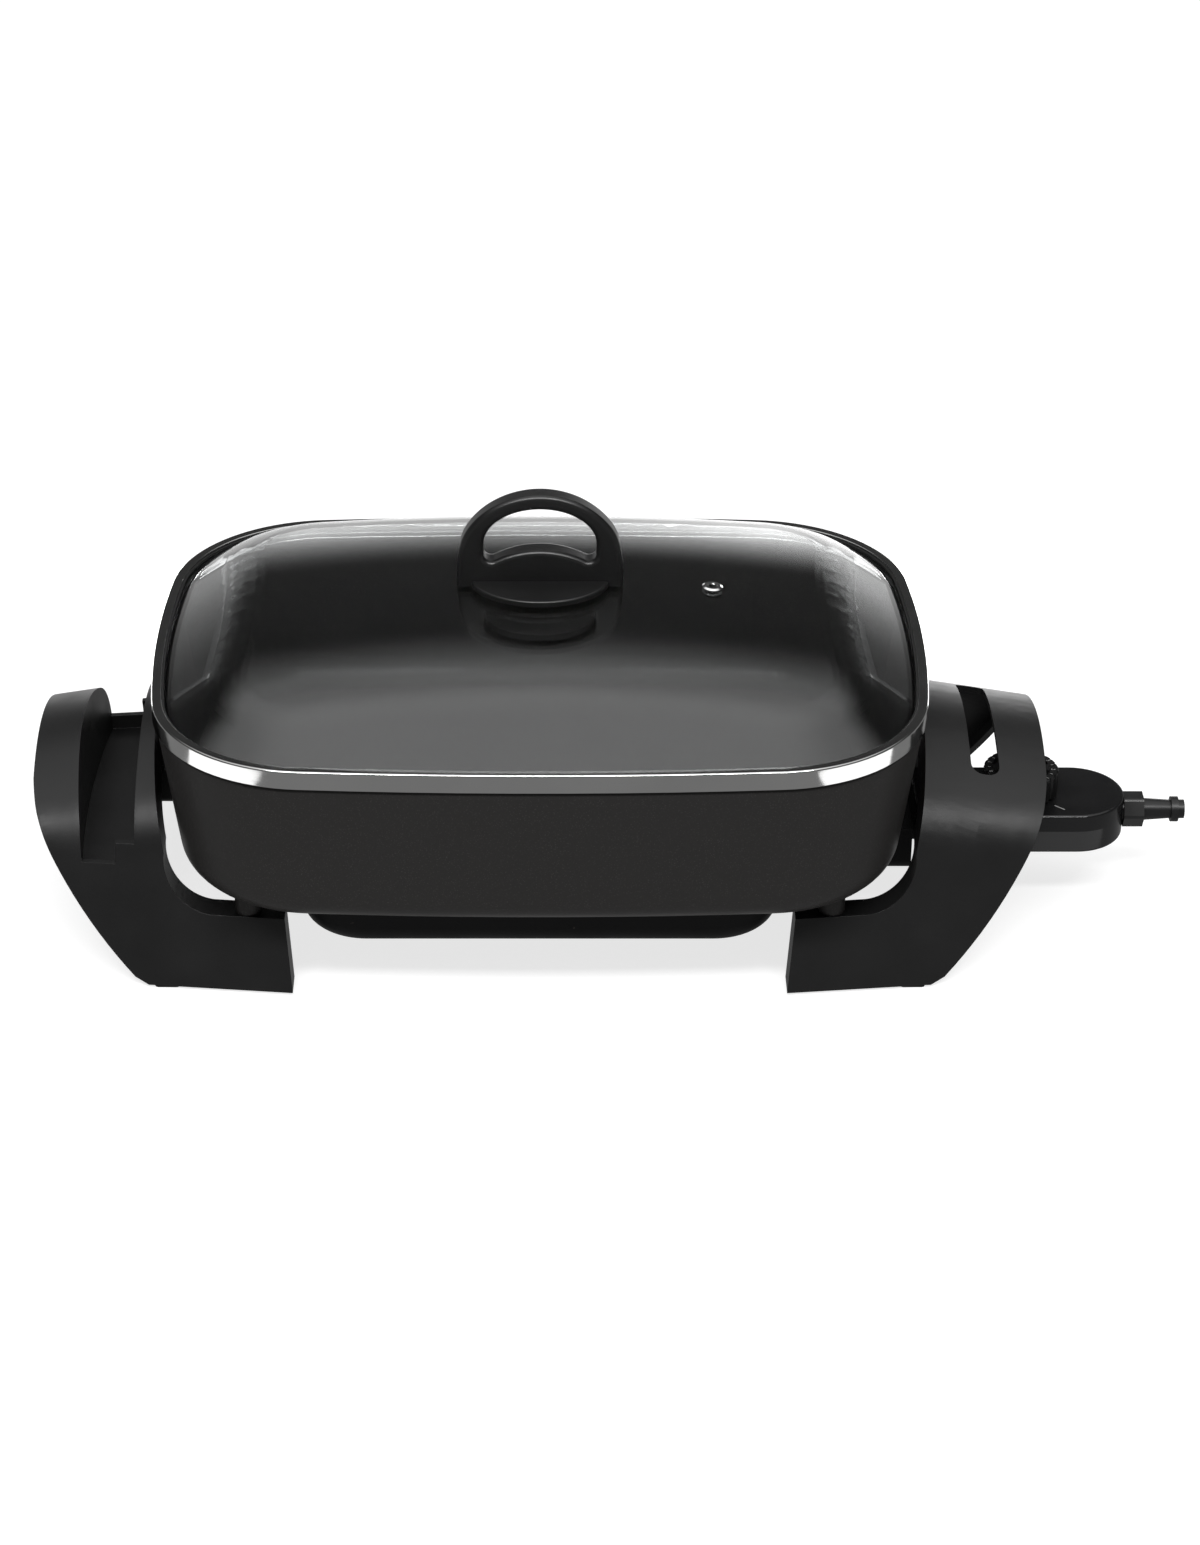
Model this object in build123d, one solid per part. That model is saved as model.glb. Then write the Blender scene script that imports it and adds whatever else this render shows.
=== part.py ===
from build123d import *
import math
import os

# Electric skillet: a cast pan on two arched side handles that are also its feet, a clamped
# heating element under the pan, a glass lid that lifts off, and a plug-in thermostat probe.
# Millimetres. Origin on the table, +X towards the probe, +Z up.

# ---- driving dimensions ----------------------------------------------------------------
RIM_HALF_LENGTH = 200.0      # steel lid rim, outside
RIM_HALF_WIDTH = 145.0
LONG_SIDE_BOW = 1920.0       # plan radius of the long sides
SHORT_SIDE_BOW = 672.0       # plan radius of the short sides
CORNER_RADIUS = 83.0
RIM_TOP = 150.0
RIM_HEIGHT = 10.2
LID_GAP = 0.3                # air between the pan's lip and the lid's rim

PAN_TOP = RIM_TOP - RIM_HEIGHT - LID_GAP
PAN_UNDERSIDE = 54.0
PAN_INSET = 1.5              # lip of the pan, inside the lid rim's outline
PAN_DRAFT = math.tan(math.radians(8.0))
PAN_WALL = 3.2
PAN_FLOOR = 4.0
PAN_BOTTOM_ROUND = 18.0
LIP_WIDTH = 7.0
LIP_HEIGHT = 6.0

GLASS_EDGE_INSET = 3.2
GLASS_EDGE_TOP = RIM_TOP - 2.6
GLASS_THICK = 4.0
GLASS_CREST = 182.0
DOME_RADIUS_X = 1300.0
DOME_RADIUS_Y = 500.0
SHOULDER_RUN = 54.0
SHOULDER_RISE = 37.8
SHOULDER_ROUND = 45.0

KNOB_TOP = 234.0
KNOB_HALF_SPAN = 43.0
KNOB_BOW = [(20.0, 229.4), (34.7, 218.0), (40.0, 209.0), (42.3, 197.5)]   # outer edge, X and Z
KNOB_OPENING = (29.0, 20.0)      # half-axes of the opening's upper half
KNOB_OPENING_Z = 206.0
KNOB_OPENING_LOW = 193.5
KNOB_OPENING_ROUND = 4.0
KNOB_SADDLE = 203.0              # crown of the opening's lower edge
KNOB_HALF_THICK = 6.0
KNOB_RIM_ROUND = 2.6
KNOB_FOOT = (36.0, 29.5, 3.0)    # half-length, half-width and height of the oval foot
KNOB_WEB_RISE = 14.3
VENT_X = 89.0

HANDLE_WALL = 3.2
FLANGE_DEPTH = 15.0
ARCH_INNER_X = 128.0         # the side arch is measured at two stations
ARCH_OUTER_X = 262.0
ARCH_INNER = (121.1, 130.0, 45.6)   # crest height, roof radius, shoulder radius
ARCH_OUTER = (100.9, 115.0, 42.6)
ROOF_SLOPE = 30.0            # slope where roof and shoulder meet, degrees
LEG_SLOPE = 72.0             # slope of the legs' faces, degrees
GRIP_OUTER_X = 263.2
GRIP_BOW = 1500.0            # plan radius of the grips' outer edge
LEG_BOTTOM = 1.5             # legs stand on pads this thick
SHELF_TOP = 38.7
SHELF_END_X = 168.0
ELBOW = (186.0, 47.0)        # middle of the bend between shelf and riser, X and Z
RISER_LOW = (193.0, 68.5)
RISER_TOP = (203.0, 122.0)
GRIP_CREST = (265.0, 122.0)  # outer edge of the handle from its crest to its heel, X and Z
GRIP_BROW = (263.9, 98.0)
GRIP_BELLY = (259.6, 82.0)
GRIP_WAIST = (240.0, 44.0)
GRIP_HEEL = (209.0, 5.2)
LEG_INNER_X = (127.2, 131.0)     # leg's inner edge at its foot and at the shelf
LEG_OUTER_X = 202.0

SCREW_RADIUS = 2.4
CLEAR_HOLE = 2.6

PROBE_Z = 47.0
PROBE_BOTTOM = 35.6
PROBE_SPLIT = 48.5
PROBE_TOP = 57.9
PROBE_HALF_WIDTH = 26.8
PROBE_START_X = 199.0
PROBE_END_X = 311.0
PROBE_WALL = 2.0
GLAND_LENGTH = 10.6
GLAND_RADIUS = 9.8
RELIEF_LENGTH = 22.1
CORD_BORE = 3.2
DIAL_X = 255.5
DIAL_RADIUS = 19.8
DIAL_TOP = 72.6
DIAL_BOTTOM = 59.6
DIAL_SCALLOPS = 26
SCALLOP_RADIUS = 1.7
SHAFT_RADIUS = 3.0
PIN_RADIUS = 2.5
PIN_Y = 12.0
RUNNING_GAP = 0.05

# shapes are drawn about the pan's middle; the finished part's origin is under its whole length
MIDDLE_X = (PROBE_END_X + GLAND_LENGTH + RELIEF_LENGTH - GRIP_OUTER_X) / 2

os.makedirs("parts", exist_ok=True)


# ---- shared helpers --------------------------------------------------------------------
def rod(radius, length, at, axis="Z"):
    """A round bar that starts at a point and runs along +X, +Y or +Z."""
    turn = {"X": (0, 90, 0), "Y": (-90, 0, 0), "Z": (0, 0, 0)}[axis]
    bar = Cylinder(radius, length, align=(Align.CENTER, Align.CENTER, Align.MIN))
    return Pos(*at) * Rot(*turn) * bar


def block(x0, x1, y0, y1, z0, z1):
    """A box given by its limits."""
    return Pos((x0 + x1) / 2, (y0 + y1) / 2, (z0 + z1) / 2) * Box(x1 - x0, y1 - y0, z1 - z0)


def join(shapes):
    """One shape holding every shape of a list."""
    whole = shapes[0]
    for extra in shapes[1:]:
        whole = whole + extra
    return whole


def save(shape, node):
    """Write one node of the assembly, moved to the finished part's frame."""
    solids = (Pos(-MIDDLE_X, 0, 0) * shape).solids()
    export_step(solids[0] if len(solids) == 1 else Compound(children=solids), f"parts/{node}.step")


def corner_centre():
    """Centre of the plan's corner arc, shared by every inset of the outline."""
    cy_long = -(LONG_SIDE_BOW - RIM_HALF_WIDTH)
    cx_short = -(SHORT_SIDE_BOW - RIM_HALF_LENGTH)
    r_long = LONG_SIDE_BOW - CORNER_RADIUS
    r_short = SHORT_SIDE_BOW - CORNER_RADIUS
    span = math.hypot(cx_short, cy_long)
    along = (r_long**2 - r_short**2 + span**2) / (2 * span)
    off = math.sqrt(r_long**2 - along**2)
    ux, uy = cx_short / span, -cy_long / span
    return ux * along + uy * off, cy_long + uy * along - ux * off


CORNER = corner_centre()


def outline(inset):
    """The bowed rounded rectangle that the pan, rim and glass share, inset evenly."""
    cx, cy = CORNER
    long_centre = (0.0, -(LONG_SIDE_BOW - RIM_HALF_WIDTH))
    short_centre = (-(SHORT_SIDE_BOW - RIM_HALF_LENGTH), 0.0)
    radius = CORNER_RADIUS - inset
    up = math.atan2(cy - long_centre[1], cx - long_centre[0])
    side = math.atan2(cy - short_centre[1], cx - short_centre[0])
    mid = (up + side) / 2

    def corner(angle, sx, sy):
        return sx * (cx + radius * math.cos(angle)), sy * (cy + radius * math.sin(angle))

    top = (0.0, RIM_HALF_WIDTH - inset)
    end = (RIM_HALF_LENGTH - inset, 0.0)
    edges = [
        ThreePointArc(corner(up, -1, 1), top, corner(up, 1, 1)),
        ThreePointArc(corner(up, 1, 1), corner(mid, 1, 1), corner(side, 1, 1)),
        ThreePointArc(corner(side, 1, 1), end, corner(side, 1, -1)),
        ThreePointArc(corner(side, 1, -1), corner(mid, 1, -1), corner(up, 1, -1)),
        ThreePointArc(corner(up, 1, -1), (0.0, -top[1]), corner(up, -1, -1)),
        ThreePointArc(corner(up, -1, -1), corner(mid, -1, -1), corner(side, -1, -1)),
        ThreePointArc(corner(side, -1, -1), (-end[0], 0.0), corner(side, -1, 1)),
        ThreePointArc(corner(side, -1, 1), corner(mid, -1, 1), corner(up, -1, 1)),
    ]
    return make_face(edges)


def slab(inset, z0, z1):
    """The outline as a straight prism."""
    return extrude(Pos(0, 0, z0) * outline(inset), z1 - z0)


def ring(inset_out, inset_in, z0, z1):
    """A band that follows the outline."""
    return slab(inset_out, z0, z1) - slab(inset_in, z0 - 1, z1 + 1)


def tapered(inset0, z0, inset1, z1):
    """The outline narrowing from one inset to another."""
    return loft([Pos(0, 0, z0) * outline(inset0), Pos(0, 0, z1) * outline(inset1)], ruled=True)


def rounded_box(x0, x1, half_y, z0, z1, radius):
    """A prism with round plan corners, centred on the XZ plane."""
    plan = RectangleRounded(x1 - x0, 2 * half_y, radius)
    return extrude(Pos((x0 + x1) / 2, 0, z0) * plan, z1 - z0)


def pan_head_screw(head_radius, head_height, shank_length):
    """A screw with its head's bearing face at the origin and its shank along +Z."""
    head = Pos(0, 0, -head_height) * Cylinder(
        head_radius, head_height, align=(Align.CENTER, Align.CENTER, Align.MIN))
    head = fillet(head.edges().group_by(Axis.Z)[0], head_height * 0.4)
    slot = Pos(0, 0, -head_height) * Box(head_radius * 1.1, 1.1, head_height * 0.9)
    cross = Pos(0, 0, -head_height) * Box(1.1, head_radius * 1.1, head_height * 0.9)
    return head - slot - cross + rod(SCREW_RADIUS, shank_length, (0, 0, 0))


# ---- pan -------------------------------------------------------------------------------
LEG_SCREW_X = 150.0
LEG_SCREW_Y = 88.2
SPACER_TOP = 47.0
SPACER_RADIUS = 7.0
COVER_BOTTOM = 28.0
COVER_HALF_LENGTH = 123.0
COVER_HALF_WIDTH = 107.0
COVER_CORNER = 34.0
COVER_ROUND = 10.0
COVER_SHEET = 1.2
COVER_SCREW_AT = (90.0, 72.0)
SENSOR_BOSS = (126.0, 152.0)     # X limits of the block that the probe's rod enters
SENSOR_BORE = 4.3
SHROUD_X = (124.0, 196.0)
SHROUD_HALF_WIDTH = 33.0
SHROUD_BOTTOM = 28.5
SHROUD_WALL = 2.0
SHROUD_SCREW_X = 140.0
SHROUD_SCREW_Y = 39.0
LUG_OUTER_X = -193.0
BRACKET_SCREW_Y = 10.0
BRACKET_SCREW_Z = 74.0
TUBE_RADIUS = 3.5
LOOP_HALF_Y = 66.0
LOOP_START_X = -78.0
LOOP_END_X = 84.0
LOOP_ROUND = 34.0


def element_path():
    """Centre line of the heating tube: a wide loop whose ends lead out to the socket."""
    corners = [
        (146.0, PIN_Y), (LOOP_END_X + 20, PIN_Y), (LOOP_END_X, LOOP_HALF_Y),
        (LOOP_START_X, LOOP_HALF_Y), (LOOP_START_X, -LOOP_HALF_Y), (LOOP_END_X, -LOOP_HALF_Y),
        (LOOP_END_X + 20, -PIN_Y), (146.0, -PIN_Y),
    ]
    radii = [16.0, 22.0, LOOP_ROUND, LOOP_ROUND, 22.0, 16.0]
    return FilletPolyline(*corners, radius=radii)


def element_sweep(section):
    """Sweep a section, drawn across the tube, along the element's loop."""
    path = Pos(0, 0, PROBE_Z) * element_path()
    start = Plane(origin=path @ 0, x_dir=(0, -1, 0), z_dir=path % 0)
    return sweep(start * section, path=path)


def make_pan():
    top_inset = PAN_INSET
    low_inset = PAN_INSET + (PAN_TOP - PAN_UNDERSIDE) * PAN_DRAFT
    outer = tapered(low_inset, PAN_UNDERSIDE, top_inset, PAN_TOP)
    outer = fillet(outer.faces().sort_by(Axis.Z)[0].edges(), PAN_BOTTOM_ROUND)
    lip = ring(top_inset, top_inset + LIP_WIDTH, PAN_TOP - LIP_HEIGHT, PAN_TOP)
    outer = fillet(outer.faces().sort_by(Axis.Z)[-1].edges(), 2.5)
    floor_z = PAN_UNDERSIDE + PAN_FLOOR
    inner_low = low_inset + PAN_WALL - PAN_FLOOR * PAN_DRAFT
    inner = tapered(inner_low, floor_z, top_inset + PAN_WALL, PAN_TOP)
    inner = fillet(inner.faces().sort_by(Axis.Z)[0].edges(), PAN_BOTTOM_ROUND - 3)
    inner = inner - lip
    mouth = slab(top_inset + LIP_WIDTH, PAN_TOP - LIP_HEIGHT, PAN_TOP + 1)
    pan = outer - inner - mouth

    rib = element_sweep(Pos(0, 5.6) * Rectangle(9.0, 4.0))
    pan = pan + rib
    x, y = COVER_SCREW_AT
    for sx in (-1, 1):
        for sy in (-1, 1):
            low = COVER_BOTTOM + COVER_SHEET
            pan = pan + rod(4.5, PAN_UNDERSIDE + 1 - low, (sx * x, sy * y, low))
            pan = pan - rod(SCREW_RADIUS + 0.02, 16, (sx * x, sy * y, COVER_BOTTOM + 1))
            at = (sx * LEG_SCREW_X, sy * LEG_SCREW_Y, SPACER_TOP)
            pan = pan + rod(SPACER_RADIUS, PAN_UNDERSIDE + 2 - SPACER_TOP, at)
            pan = pan - rod(SCREW_RADIUS + 0.02, 9.0, (at[0], at[1], SPACER_TOP - 1))
            at = (SHROUD_SCREW_X, sy * SHROUD_SCREW_Y, PAN_UNDERSIDE - 1)
            pan = pan - rod(SCREW_RADIUS + 0.02, 4, at)
    x0, x1 = SENSOR_BOSS
    boss = block(x0, x1, -7, 7, PROBE_Z - 7, PAN_UNDERSIDE + 1)
    boss = fillet(boss.edges().filter_by(Axis.X).group_by(Axis.Z)[0], 5)
    pan = pan + boss - rod(SENSOR_BORE, x1 - x0 - 3, (x0 + 4, 0, PROBE_Z), "X")
    lug = block(LUG_OUTER_X, -187.2, -15, 15, 64, 84)
    pan = pan + lug
    for sy in (-1, 1):
        at = (LUG_OUTER_X - 1, sy * BRACKET_SCREW_Y, BRACKET_SCREW_Z)
        pan = pan - rod(SCREW_RADIUS + 0.02, 5.5, at, "X")
    return pan


save(make_pan(), "pan")


# ---- heating element and its cover -----------------------------------------------------
def make_element_cover():

    def dish(inset, top):
        length, width = COVER_HALF_LENGTH - inset, COVER_HALF_WIDTH - inset
        form = rounded_box(-length, length, width, COVER_BOTTOM + inset, top, COVER_CORNER - inset)
        return fillet(form.edges().group_by(Axis.Z)[0], COVER_ROUND - inset)

    cover = dish(0, PAN_UNDERSIDE) - dish(COVER_SHEET, PAN_UNDERSIDE + 1)
    notch_x = COVER_HALF_LENGTH - 8, COVER_HALF_LENGTH + 7
    cover = cover - block(*notch_x, -17, 17, PROBE_Z - 6, PAN_UNDERSIDE + 1)
    x, y = COVER_SCREW_AT
    for sx in (-1, 1):
        for sy in (-1, 1):
            cover = cover - rod(CLEAR_HOLE, 5, (sx * x, sy * y, COVER_BOTTOM - 1))
    return cover


save(element_sweep(Circle(TUBE_RADIUS)), "heating_element")
save(make_element_cover(), "element_cover")
cover_screw = Pos(*COVER_SCREW_AT, COVER_BOTTOM) * pan_head_screw(4.5, 2.4, 13)
save(join([Pos((sx - 1) * COVER_SCREW_AT[0], (sy - 1) * COVER_SCREW_AT[1], 0) * cover_screw
           for sx in (-1, 1) for sy in (-1, 1)]), "cover_screws")

bush = rod(3.9, 5, (146, 0, PROBE_Z), "X") - rod(PIN_RADIUS + 0.02, 7, (145, 0, PROBE_Z), "X")
save(join([Pos(0, sy * PIN_Y, 0) * bush for sy in (-1, 1)]), "terminal_bushes")
pin = rod(PIN_RADIUS, 42, (146.1, 0, PROBE_Z), "X")
pin = fillet(pin.edges().sort_by(Axis.X)[-1], 1.6)
save(join([Pos(0, sy * PIN_Y, 0) * pin for sy in (-1, 1)]), "terminal_pins")


def make_socket_shroud():
    (x0, x1), half_y, wall = SHROUD_X, SHROUD_HALF_WIDTH, SHROUD_WALL
    z0, z1 = SHROUD_BOTTOM, PAN_UNDERSIDE - 0.2
    shell = block(x0, x1, -half_y, half_y, z0, z1)
    shell = fillet(shell.edges().filter_by(Axis.X).group_by(Axis.Z)[0], 6)
    shell = shell - block(x0 - 1, 160, -half_y + wall, half_y - wall, z0 + wall, z1 + 1)
    shell = shell - block(150, x1 + 1, -half_y + wall, half_y - wall, z0 + wall, z1 - wall)
    for sy in (-1, 1):
        ear_y = sy * (half_y + 5.5)
        ear = block(SHROUD_SCREW_X - 8, SHROUD_SCREW_X + 8, ear_y - 5.5, ear_y + 5.5, z1 - wall, z1)
        shell = shell + ear - rod(CLEAR_HOLE, 6, (SHROUD_SCREW_X, sy * SHROUD_SCREW_Y, z1 - wall - 2))
    return shell


save(make_socket_shroud(), "socket_shroud")
shroud_screw = Pos(SHROUD_SCREW_X, 0, PAN_UNDERSIDE - 0.2 - SHROUD_WALL) * pan_head_screw(4.2, 2.2, 4.8)
save(join([Pos(0, sy * SHROUD_SCREW_Y, 0) * shroud_screw for sy in (-1, 1)]), "shroud_screws")


# ---- side handles ----------------------------------------------------------------------
def arch_section(x, inset):
    """Cross-section of the side arch at a station, filled down past the table."""
    share = (x - ARCH_INNER_X) / (ARCH_OUTER_X - ARCH_INNER_X)
    crest, roof, shoulder = [a + share * (b - a) for a, b in zip(ARCH_INNER, ARCH_OUTER)]
    crest, roof, shoulder = crest - inset, roof - inset, shoulder - inset
    low, steep = math.radians(ROOF_SLOPE), math.radians(LEG_SLOPE)

    def on_roof(angle):
        return roof * math.sin(angle), crest - roof * (1 - math.cos(angle))

    knee = on_roof(low)

    def on_shoulder(angle):
        return (knee[0] + shoulder * (math.sin(angle) - math.sin(low)),
                knee[1] - shoulder * (math.cos(low) - math.cos(angle)))

    hip = on_shoulder(steep)
    bend = on_shoulder((low + steep) / 2)
    drop = hip[1] + 10
    foot = (hip[0] + drop / math.tan(steep), -10)

    def other(point):
        return -point[0], point[1]

    edges = [
        Line(foot, hip), ThreePointArc(hip, bend, knee),
        ThreePointArc(knee, (0, crest), other(knee)),
        ThreePointArc(other(knee), other(bend), other(hip)), Line(other(hip), other(foot)),
        Line(other(foot), foot),
    ]
    return Plane.YZ.offset(x) * make_face(edges)


def arch(inset):
    """Solid under the handle's arched skin, offset inwards."""
    return loft([arch_section(110, inset), arch_section(275, inset)], ruled=True)


def handle_front():
    """Front outline of one handle: leg, shelf, riser, crest and the curved outer edge."""
    inner_low, inner_top = (LEG_INNER_X[0], LEG_BOTTOM), (LEG_INNER_X[1], SHELF_TOP)
    shelf_end, outer_low = (SHELF_END_X, SHELF_TOP), (LEG_OUTER_X, LEG_BOTTOM)
    edges = [
        Line(inner_low, inner_top), Line(inner_top, shelf_end),
        ThreePointArc(shelf_end, ELBOW, RISER_LOW), Line(RISER_LOW, RISER_TOP),
        Line(RISER_TOP, GRIP_CREST), ThreePointArc(GRIP_CREST, GRIP_BROW, GRIP_BELLY),
        ThreePointArc(GRIP_BELLY, GRIP_WAIST, GRIP_HEEL), Line(GRIP_HEEL, outer_low),
        Line(outer_low, inner_low),
    ]
    return make_face(edges)


def prism_y(face, half_depth):
    """Extrude a face drawn in X and Z both ways along Y."""
    return extrude(Plane.XZ * face, half_depth, both=True)


def bow_cylinder(outer_x, radius=None):
    """Everything inside a plan arc, concentric with the pan's short side unless told otherwise."""
    radius = radius or SHORT_SIDE_BOW - RIM_HALF_LENGTH + outer_x
    return rod(radius, 150, (outer_x - radius, 0, -20))


def hollow_prism():
    """The front outline inset by the moulding's wall, both ways along Y."""
    return prism_y(offset(handle_front(), -HANDLE_WALL, kind=Kind.ARC), 130)


def make_handle_shell():
    skin = arch(0) & prism_y(handle_front(), 130) & bow_cylinder(GRIP_OUTER_X, GRIP_BOW)
    hollow = arch(HANDLE_WALL) & hollow_prism()
    hollow = hollow & bow_cylinder(GRIP_OUTER_X - HANDLE_WALL, GRIP_BOW - HANDLE_WALL)
    core = arch(FLANGE_DEPTH) & block(100, 300, -130, 130, -20, 130)
    shell = skin - hollow - core
    for sy in (-1, 1):
        shell = shell - rod(CLEAR_HOLE, 8, (LEG_SCREW_X, sy * LEG_SCREW_Y, SHELF_TOP - 6))
    return shell


HANDLE_SHELL = make_handle_shell()

SLOT_X = (223.3, 238.0)
SLOT_HALF_Y = 48.0


def make_right_handle():
    x0, x1 = SLOT_X
    slot = extrude(Pos((x0 + x1) / 2, 0, 0) * RectangleRounded(x1 - x0, 2 * SLOT_HALF_Y, 6), 130)
    return HANDLE_SHELL - slot


WELL_OUTER_X = 240.2
WELL_INNER_X = 208.3
WELL_STEP_X = 218.1
WELL_FLOOR = 52.0
WELL_SILL_LOW = 61.6
WELL_SILL_HIGH = 72.0
WELL_WALL = 3.0


def make_left_handle():
    """Mirror image of the right one, with a finger well in place of the slot."""
    outer = block(WELL_INNER_X - WELL_WALL, 250, -100, 100, WELL_FLOOR - WELL_WALL, 120)
    outer = outer & arch(0) & bow_cylinder(WELL_OUTER_X + WELL_WALL) & prism_y(handle_front(), 130)
    inner = block(WELL_INNER_X, 250, -100, 100, WELL_FLOOR, 120)
    inner = inner & arch(HANDLE_WALL) & bow_cylinder(WELL_OUTER_X) & hollow_prism()
    mouth = block(WELL_STEP_X, 250, -100, 100, WELL_SILL_LOW, 120)
    mouth = mouth + block(WELL_INNER_X, WELL_STEP_X + 1, -100, 100, WELL_SILL_HIGH, 120)
    mouth = mouth & bow_cylinder(WELL_OUTER_X)
    handle = HANDLE_SHELL + outer - inner - mouth
    for sy in (-1, 1):
        at = (WELL_INNER_X - WELL_WALL - 1, sy * BRACKET_SCREW_Y, BRACKET_SCREW_Z)
        handle = handle - rod(CLEAR_HOLE, 6, at, "X")
    return mirror(handle, about=Plane.YZ)


save(make_right_handle(), "right_handle")
save(make_left_handle(), "left_handle")

spacer = rod(SPACER_RADIUS, SPACER_TOP - SHELF_TOP, (0, 0, SHELF_TOP))
spacer = spacer - rod(CLEAR_HOLE, 20, (0, 0, SHELF_TOP - 5))
leg_shank = HANDLE_WALL + SPACER_TOP - SHELF_TOP + 7
leg_screw = Pos(0, 0, SHELF_TOP - HANDLE_WALL) * pan_head_screw(4.4, 2.6, leg_shank)
LEG_SPOTS = [(sx * LEG_SCREW_X, sy * LEG_SCREW_Y) for sx in (-1, 1) for sy in (-1, 1)]
save(join([Pos(x, y, 0) * spacer for x, y in LEG_SPOTS]), "leg_spacers")
save(join([Pos(x, y, 0) * leg_screw for x, y in LEG_SPOTS]), "leg_screws")


def make_side_bracket():
    """Lug that ties the left handle's well to the pan's side."""
    outer_x = -(WELL_INNER_X - WELL_WALL)
    body = block(outer_x, LUG_OUTER_X, -20, 20, 62, 83)
    body = fillet(body.edges().filter_by(Axis.X), 3)
    for sy in (-1, 1):
        body = body - rod(CLEAR_HOLE, 20, (outer_x - 2, sy * BRACKET_SCREW_Y, BRACKET_SCREW_Z), "X")
    return body


save(make_side_bracket(), "side_bracket")
side_screw = Rot(0, 90, 0) * pan_head_screw(4.4, 2.4, 19.4)
save(join([Pos(-WELL_INNER_X, sy * BRACKET_SCREW_Y, BRACKET_SCREW_Z) * side_screw for sy in (-1, 1)]),
     "bracket_screws")

PAD_AT = (192.5, 96.0)
PAD_SIDE = 13.0
pad = extrude(RectangleRounded(PAD_SIDE, PAD_SIDE, 2), LEG_BOTTOM)
save(join([Pos(sx * PAD_AT[0], sy * PAD_AT[1], 0) * pad for sx in (-1, 1) for sy in (-1, 1)]), "foot_pads")


# ---- lid -------------------------------------------------------------------------------
def dome_barrel(crest):
    """A barrel whose back is the lid's shallow double-curved dome."""
    half = 260.0
    drop = DOME_RADIUS_X - math.sqrt(DOME_RADIUS_X**2 - half**2)
    axis_z = crest - DOME_RADIUS_Y
    edges = [
        ThreePointArc((-half, crest - drop), (0, crest), (half, crest - drop)),
        Line((half, crest - drop), (half, axis_z)), Line((half, axis_z), (-half, axis_z)),
        Line((-half, axis_z), (-half, crest - drop)),
    ]
    profile = Plane.XZ * make_face(edges)
    return revolve(profile, Axis((0, 0, axis_z), (1, 0, 0)), 360)


def dome(edge_inset, edge_z, crest, round_radius):
    """Cone-like shoulder under the barrel's back, blended where they meet."""
    cone = tapered(edge_inset, edge_z, edge_inset + SHOULDER_RUN, edge_z + SHOULDER_RISE)
    capped = cone & dome_barrel(crest)
    roof = capped.faces().sort_by(Axis.Z)[-1]
    return fillet(roof.edges(), round_radius)


def make_glass():
    bottom = RIM_TOP - RIM_HEIGHT + 2.4
    edge = slab(GLASS_EDGE_INSET, bottom, GLASS_EDGE_TOP)
    outer = dome(GLASS_EDGE_INSET + 3.4, GLASS_EDGE_TOP, GLASS_CREST, SHOULDER_ROUND)
    inner = dome(GLASS_EDGE_INSET + 5.0, bottom, GLASS_CREST - GLASS_THICK, SHOULDER_ROUND - GLASS_THICK)
    glass = edge + outer - inner
    glass = glass - rod(3.2, 30, (0, 0, GLASS_CREST - 20))
    return glass - VENT_PLACE * rod(4.05, 30, (0, 0, -15))


VENT_TILT = math.degrees(math.asin(VENT_X / DOME_RADIUS_X))
VENT_Z = GLASS_CREST - DOME_RADIUS_X * (1 - math.cos(math.radians(VENT_TILT)))
VENT_PLACE = Pos(VENT_X, 0, VENT_Z) * Rot(0, VENT_TILT, 0)


def make_rim():
    bottom = RIM_TOP - RIM_HEIGHT
    shell = slab(0, bottom, RIM_TOP)
    shell = fillet(shell.faces().sort_by(Axis.Z)[-1].edges(), 1.0)
    shell = shell - slab(1.1, bottom + 1.1, RIM_TOP - 1.1)
    shell = shell - slab(5.2, RIM_TOP - 2, RIM_TOP + 1)
    return shell - slab(8.2, bottom - 1, bottom + 2)


def make_vent():
    profile = Polyline((2.2, -5.4), (5.2, -5.4), (5.2, -4.4), (4.0, -4.4), (4.0, 0.0),
                       (5.3, 0.1), (5.3, 1.1), (4.3, 1.8), (2.6, 1.8), (2.2, 1.2), close=True)
    return VENT_PLACE * revolve(Plane.XZ * make_face(profile), Axis.Z, 360)


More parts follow.
